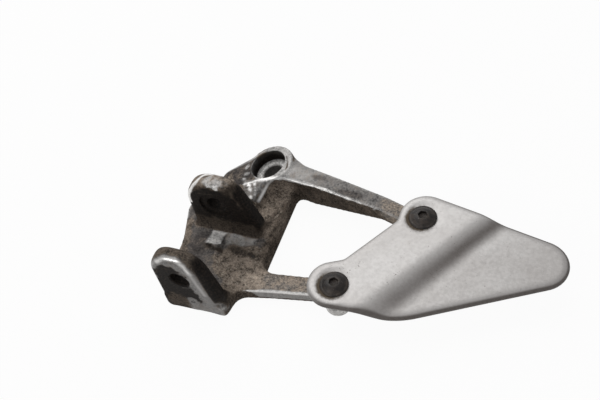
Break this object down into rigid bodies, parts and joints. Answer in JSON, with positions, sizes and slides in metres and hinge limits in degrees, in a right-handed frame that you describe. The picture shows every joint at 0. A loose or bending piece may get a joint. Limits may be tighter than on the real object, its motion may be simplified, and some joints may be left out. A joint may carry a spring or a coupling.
{
  "type": "motorcycle footrest hanger",
  "caption": "Cast footrest hanger with a leaning frame bolt boss, clevis lugs for a folding footrest, and a screwed-on heel guard plate.",
  "frame": {"origin": "centre of the frame bolt's seat, on the bolt's axis", "axes": "+X from the footrest lugs towards the heel guard's tip, +Y along the footrest pin towards the frame bolt's boss, +Z away from the motorcycle's frame"},
  "size_m": [0.1982, 0.1, 0.045],
  "materials": {
    "cast_aluminium": "as cast, worn and stained",
    "guard_aluminium": "satin",
    "black_steel": "black oxide"
  },
  "bodies": {
    "root": {"hanger_casting": "cast_aluminium", "heel_guard": "guard_aluminium", "upper_guard_screw": "black_steel", "lower_guard_screw": "black_steel"}
  },
  "joints": []
}
